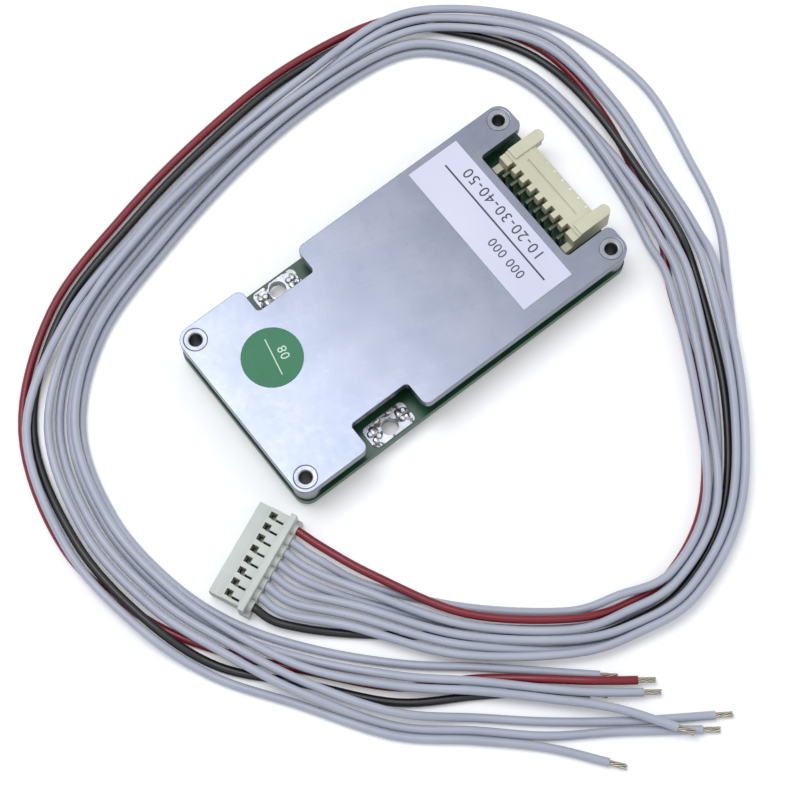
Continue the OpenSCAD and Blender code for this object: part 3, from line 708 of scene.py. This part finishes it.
rubber = material("Thermal_silicone", srgb(120, 128, 138), srgb(108, 116, 126), (0.7, 0.85),
                  relief_by=0.3)
paint("thermal_pad", rubber)
print("painted", header.name, plug.name, "and", len(wires), "wires")

# %% [markdown]
# ## Board and chips
# Green solder mask under black moulded bodies.

# %% Board and the parts on it
mask = material("Solder_mask", srgb(22, 74, 44), srgb(16, 60, 36), (0.28, 0.4), patch=300.0,
                relief_by=0.15)
paint("circuit_board", mask)
chip_black = material("Chip_body", srgb(38, 38, 40), srgb(30, 30, 32), (0.5, 0.65), relief_by=0.3)
for thing in ("power_transistors", "protection_chip", "bleed_transistors", "shunt_resistors",
              "bleed_resistors", "sense_resistors"):
    paint(thing, chip_black)
ceramic = material("Capacitor", srgb(170, 140, 104), srgb(158, 128, 94), (0.4, 0.55))
paint("filter_capacitors", ceramic)
print("painted the board and its small parts")

# %% [markdown]
# ## Paper and ink
# Matt paper, with ink in its own material on the raised print.

# %% Label and sticker
paper = material("Label_paper", srgb(214, 214, 232), srgb(206, 207, 226), (0.5, 0.62),
                 patch=50.0, relief_by=0.12)
paint("rating_label", paper)
green = material("Green_paper", srgb(22, 112, 72), srgb(18, 102, 66), (0.42, 0.55),
                 patch=70.0, relief_by=0.1)
paint("check_sticker", green)
black_ink = material("Black_ink", srgb(52, 52, 66), srgb(64, 64, 80), (0.5, 0.6), patch=500.0)
paint(label_print, black_ink)
white_ink = material("White_ink", srgb(205, 225, 212), srgb(190, 214, 200), (0.5, 0.6), patch=500.0)
paint(sticker_print, white_ink)
print("materials", len(bpy.data.materials))

# %% [markdown]
# ## The lead
# Each wire has its own length. They leave the plug side by side.

# %% Cords
print("cords", len(WIRES))

# %% [markdown]
# ## Table
# A pale table keeps the shadows, and looks white round the object.

# %% Table
bpy.ops.mesh.primitive_plane_add(size=4, location=(0, 0, 0))
table = bpy.context.object
table.name = "Table"
cloth = bpy.data.materials.new("Pale_table")
cloth.use_nodes = True
skin = cloth.node_tree.nodes["Principled BSDF"]
skin.inputs["Base Color"].default_value = (0.93, 0.93, 0.93, 1)
skin.inputs["Roughness"].default_value = 0.9
skin.inputs["Specular IOR Level"].default_value = 0.1
skin.inputs["Emission Color"].default_value = (1, 1, 1, 1)


def background_rays(tree):
    """1 for the rays that show the background: from the camera, a metal or a clear piece."""
    rays = node(tree, "ShaderNodeLightPath")
    two = node(tree, "ShaderNodeMath", operation="MAXIMUM")
    three = node(tree, "ShaderNodeMath", operation="MAXIMUM")
    tree.links.new(rays.outputs["Is Camera Ray"], two.inputs[0])
    tree.links.new(rays.outputs["Is Transmission Ray"], two.inputs[1])
    tree.links.new(two.outputs["Value"], three.inputs[0])
    tree.links.new(rays.outputs["Is Glossy Ray"], three.inputs[1])
    return three.outputs["Value"]


tree = cloth.node_tree
glow = spread_out(tree, background_rays(tree), 0, 1, 0, 0.15)
tree.links.new(glow, skin.inputs["Emission Strength"])
table.data.materials.append(cloth)
print("table", tuple(round(v, 1) for v in table.dimensions))

# %% [markdown]
# ## Lamps and background
# A cool soft key lamp above the plate, a weak fill lamp and a pale world, which the camera
# and the metals see as white.

# %% Lamps and world


def soft_lamp(name, at, toward, size, power, colour=(1, 1, 1)):
    lamp = bpy.data.objects.new(name, bpy.data.lights.new(name, "AREA"))
    bpy.context.scene.collection.objects.link(lamp)
    lamp.data.shape = "SQUARE"
    lamp.data.size = size
    lamp.data.energy = power
    lamp.data.color = colour
    lamp.location = at
    lamp.rotation_euler = (Vector(toward) - Vector(at)).to_track_quat("-Z", "Y").to_euler()


soft_lamp("Key_lamp", (-0.085, 0.17, 0.6), (-0.02, 0, 0), 0.35, 2.1, (0.93, 0.96, 1))
soft_lamp("Fill_lamp", (0.5, -0.4, 0.5), (0, 0, 0), 0.5, 0.8)

world = bpy.data.worlds.new("World")
bpy.context.scene.world = world
world.use_nodes = True
tree = world.node_tree
sky = tree.nodes["Background"]
pale, white = (0.55, 0.56, 0.58, 1), (1, 1, 1, 1)
tree.links.new(mix_colour(tree, background_rays(tree), pale, white), sky.inputs["Color"])
sky.inputs["Strength"].default_value = 1
bpy.context.scene.view_settings.view_transform = "Standard"
print("lamps and world set")
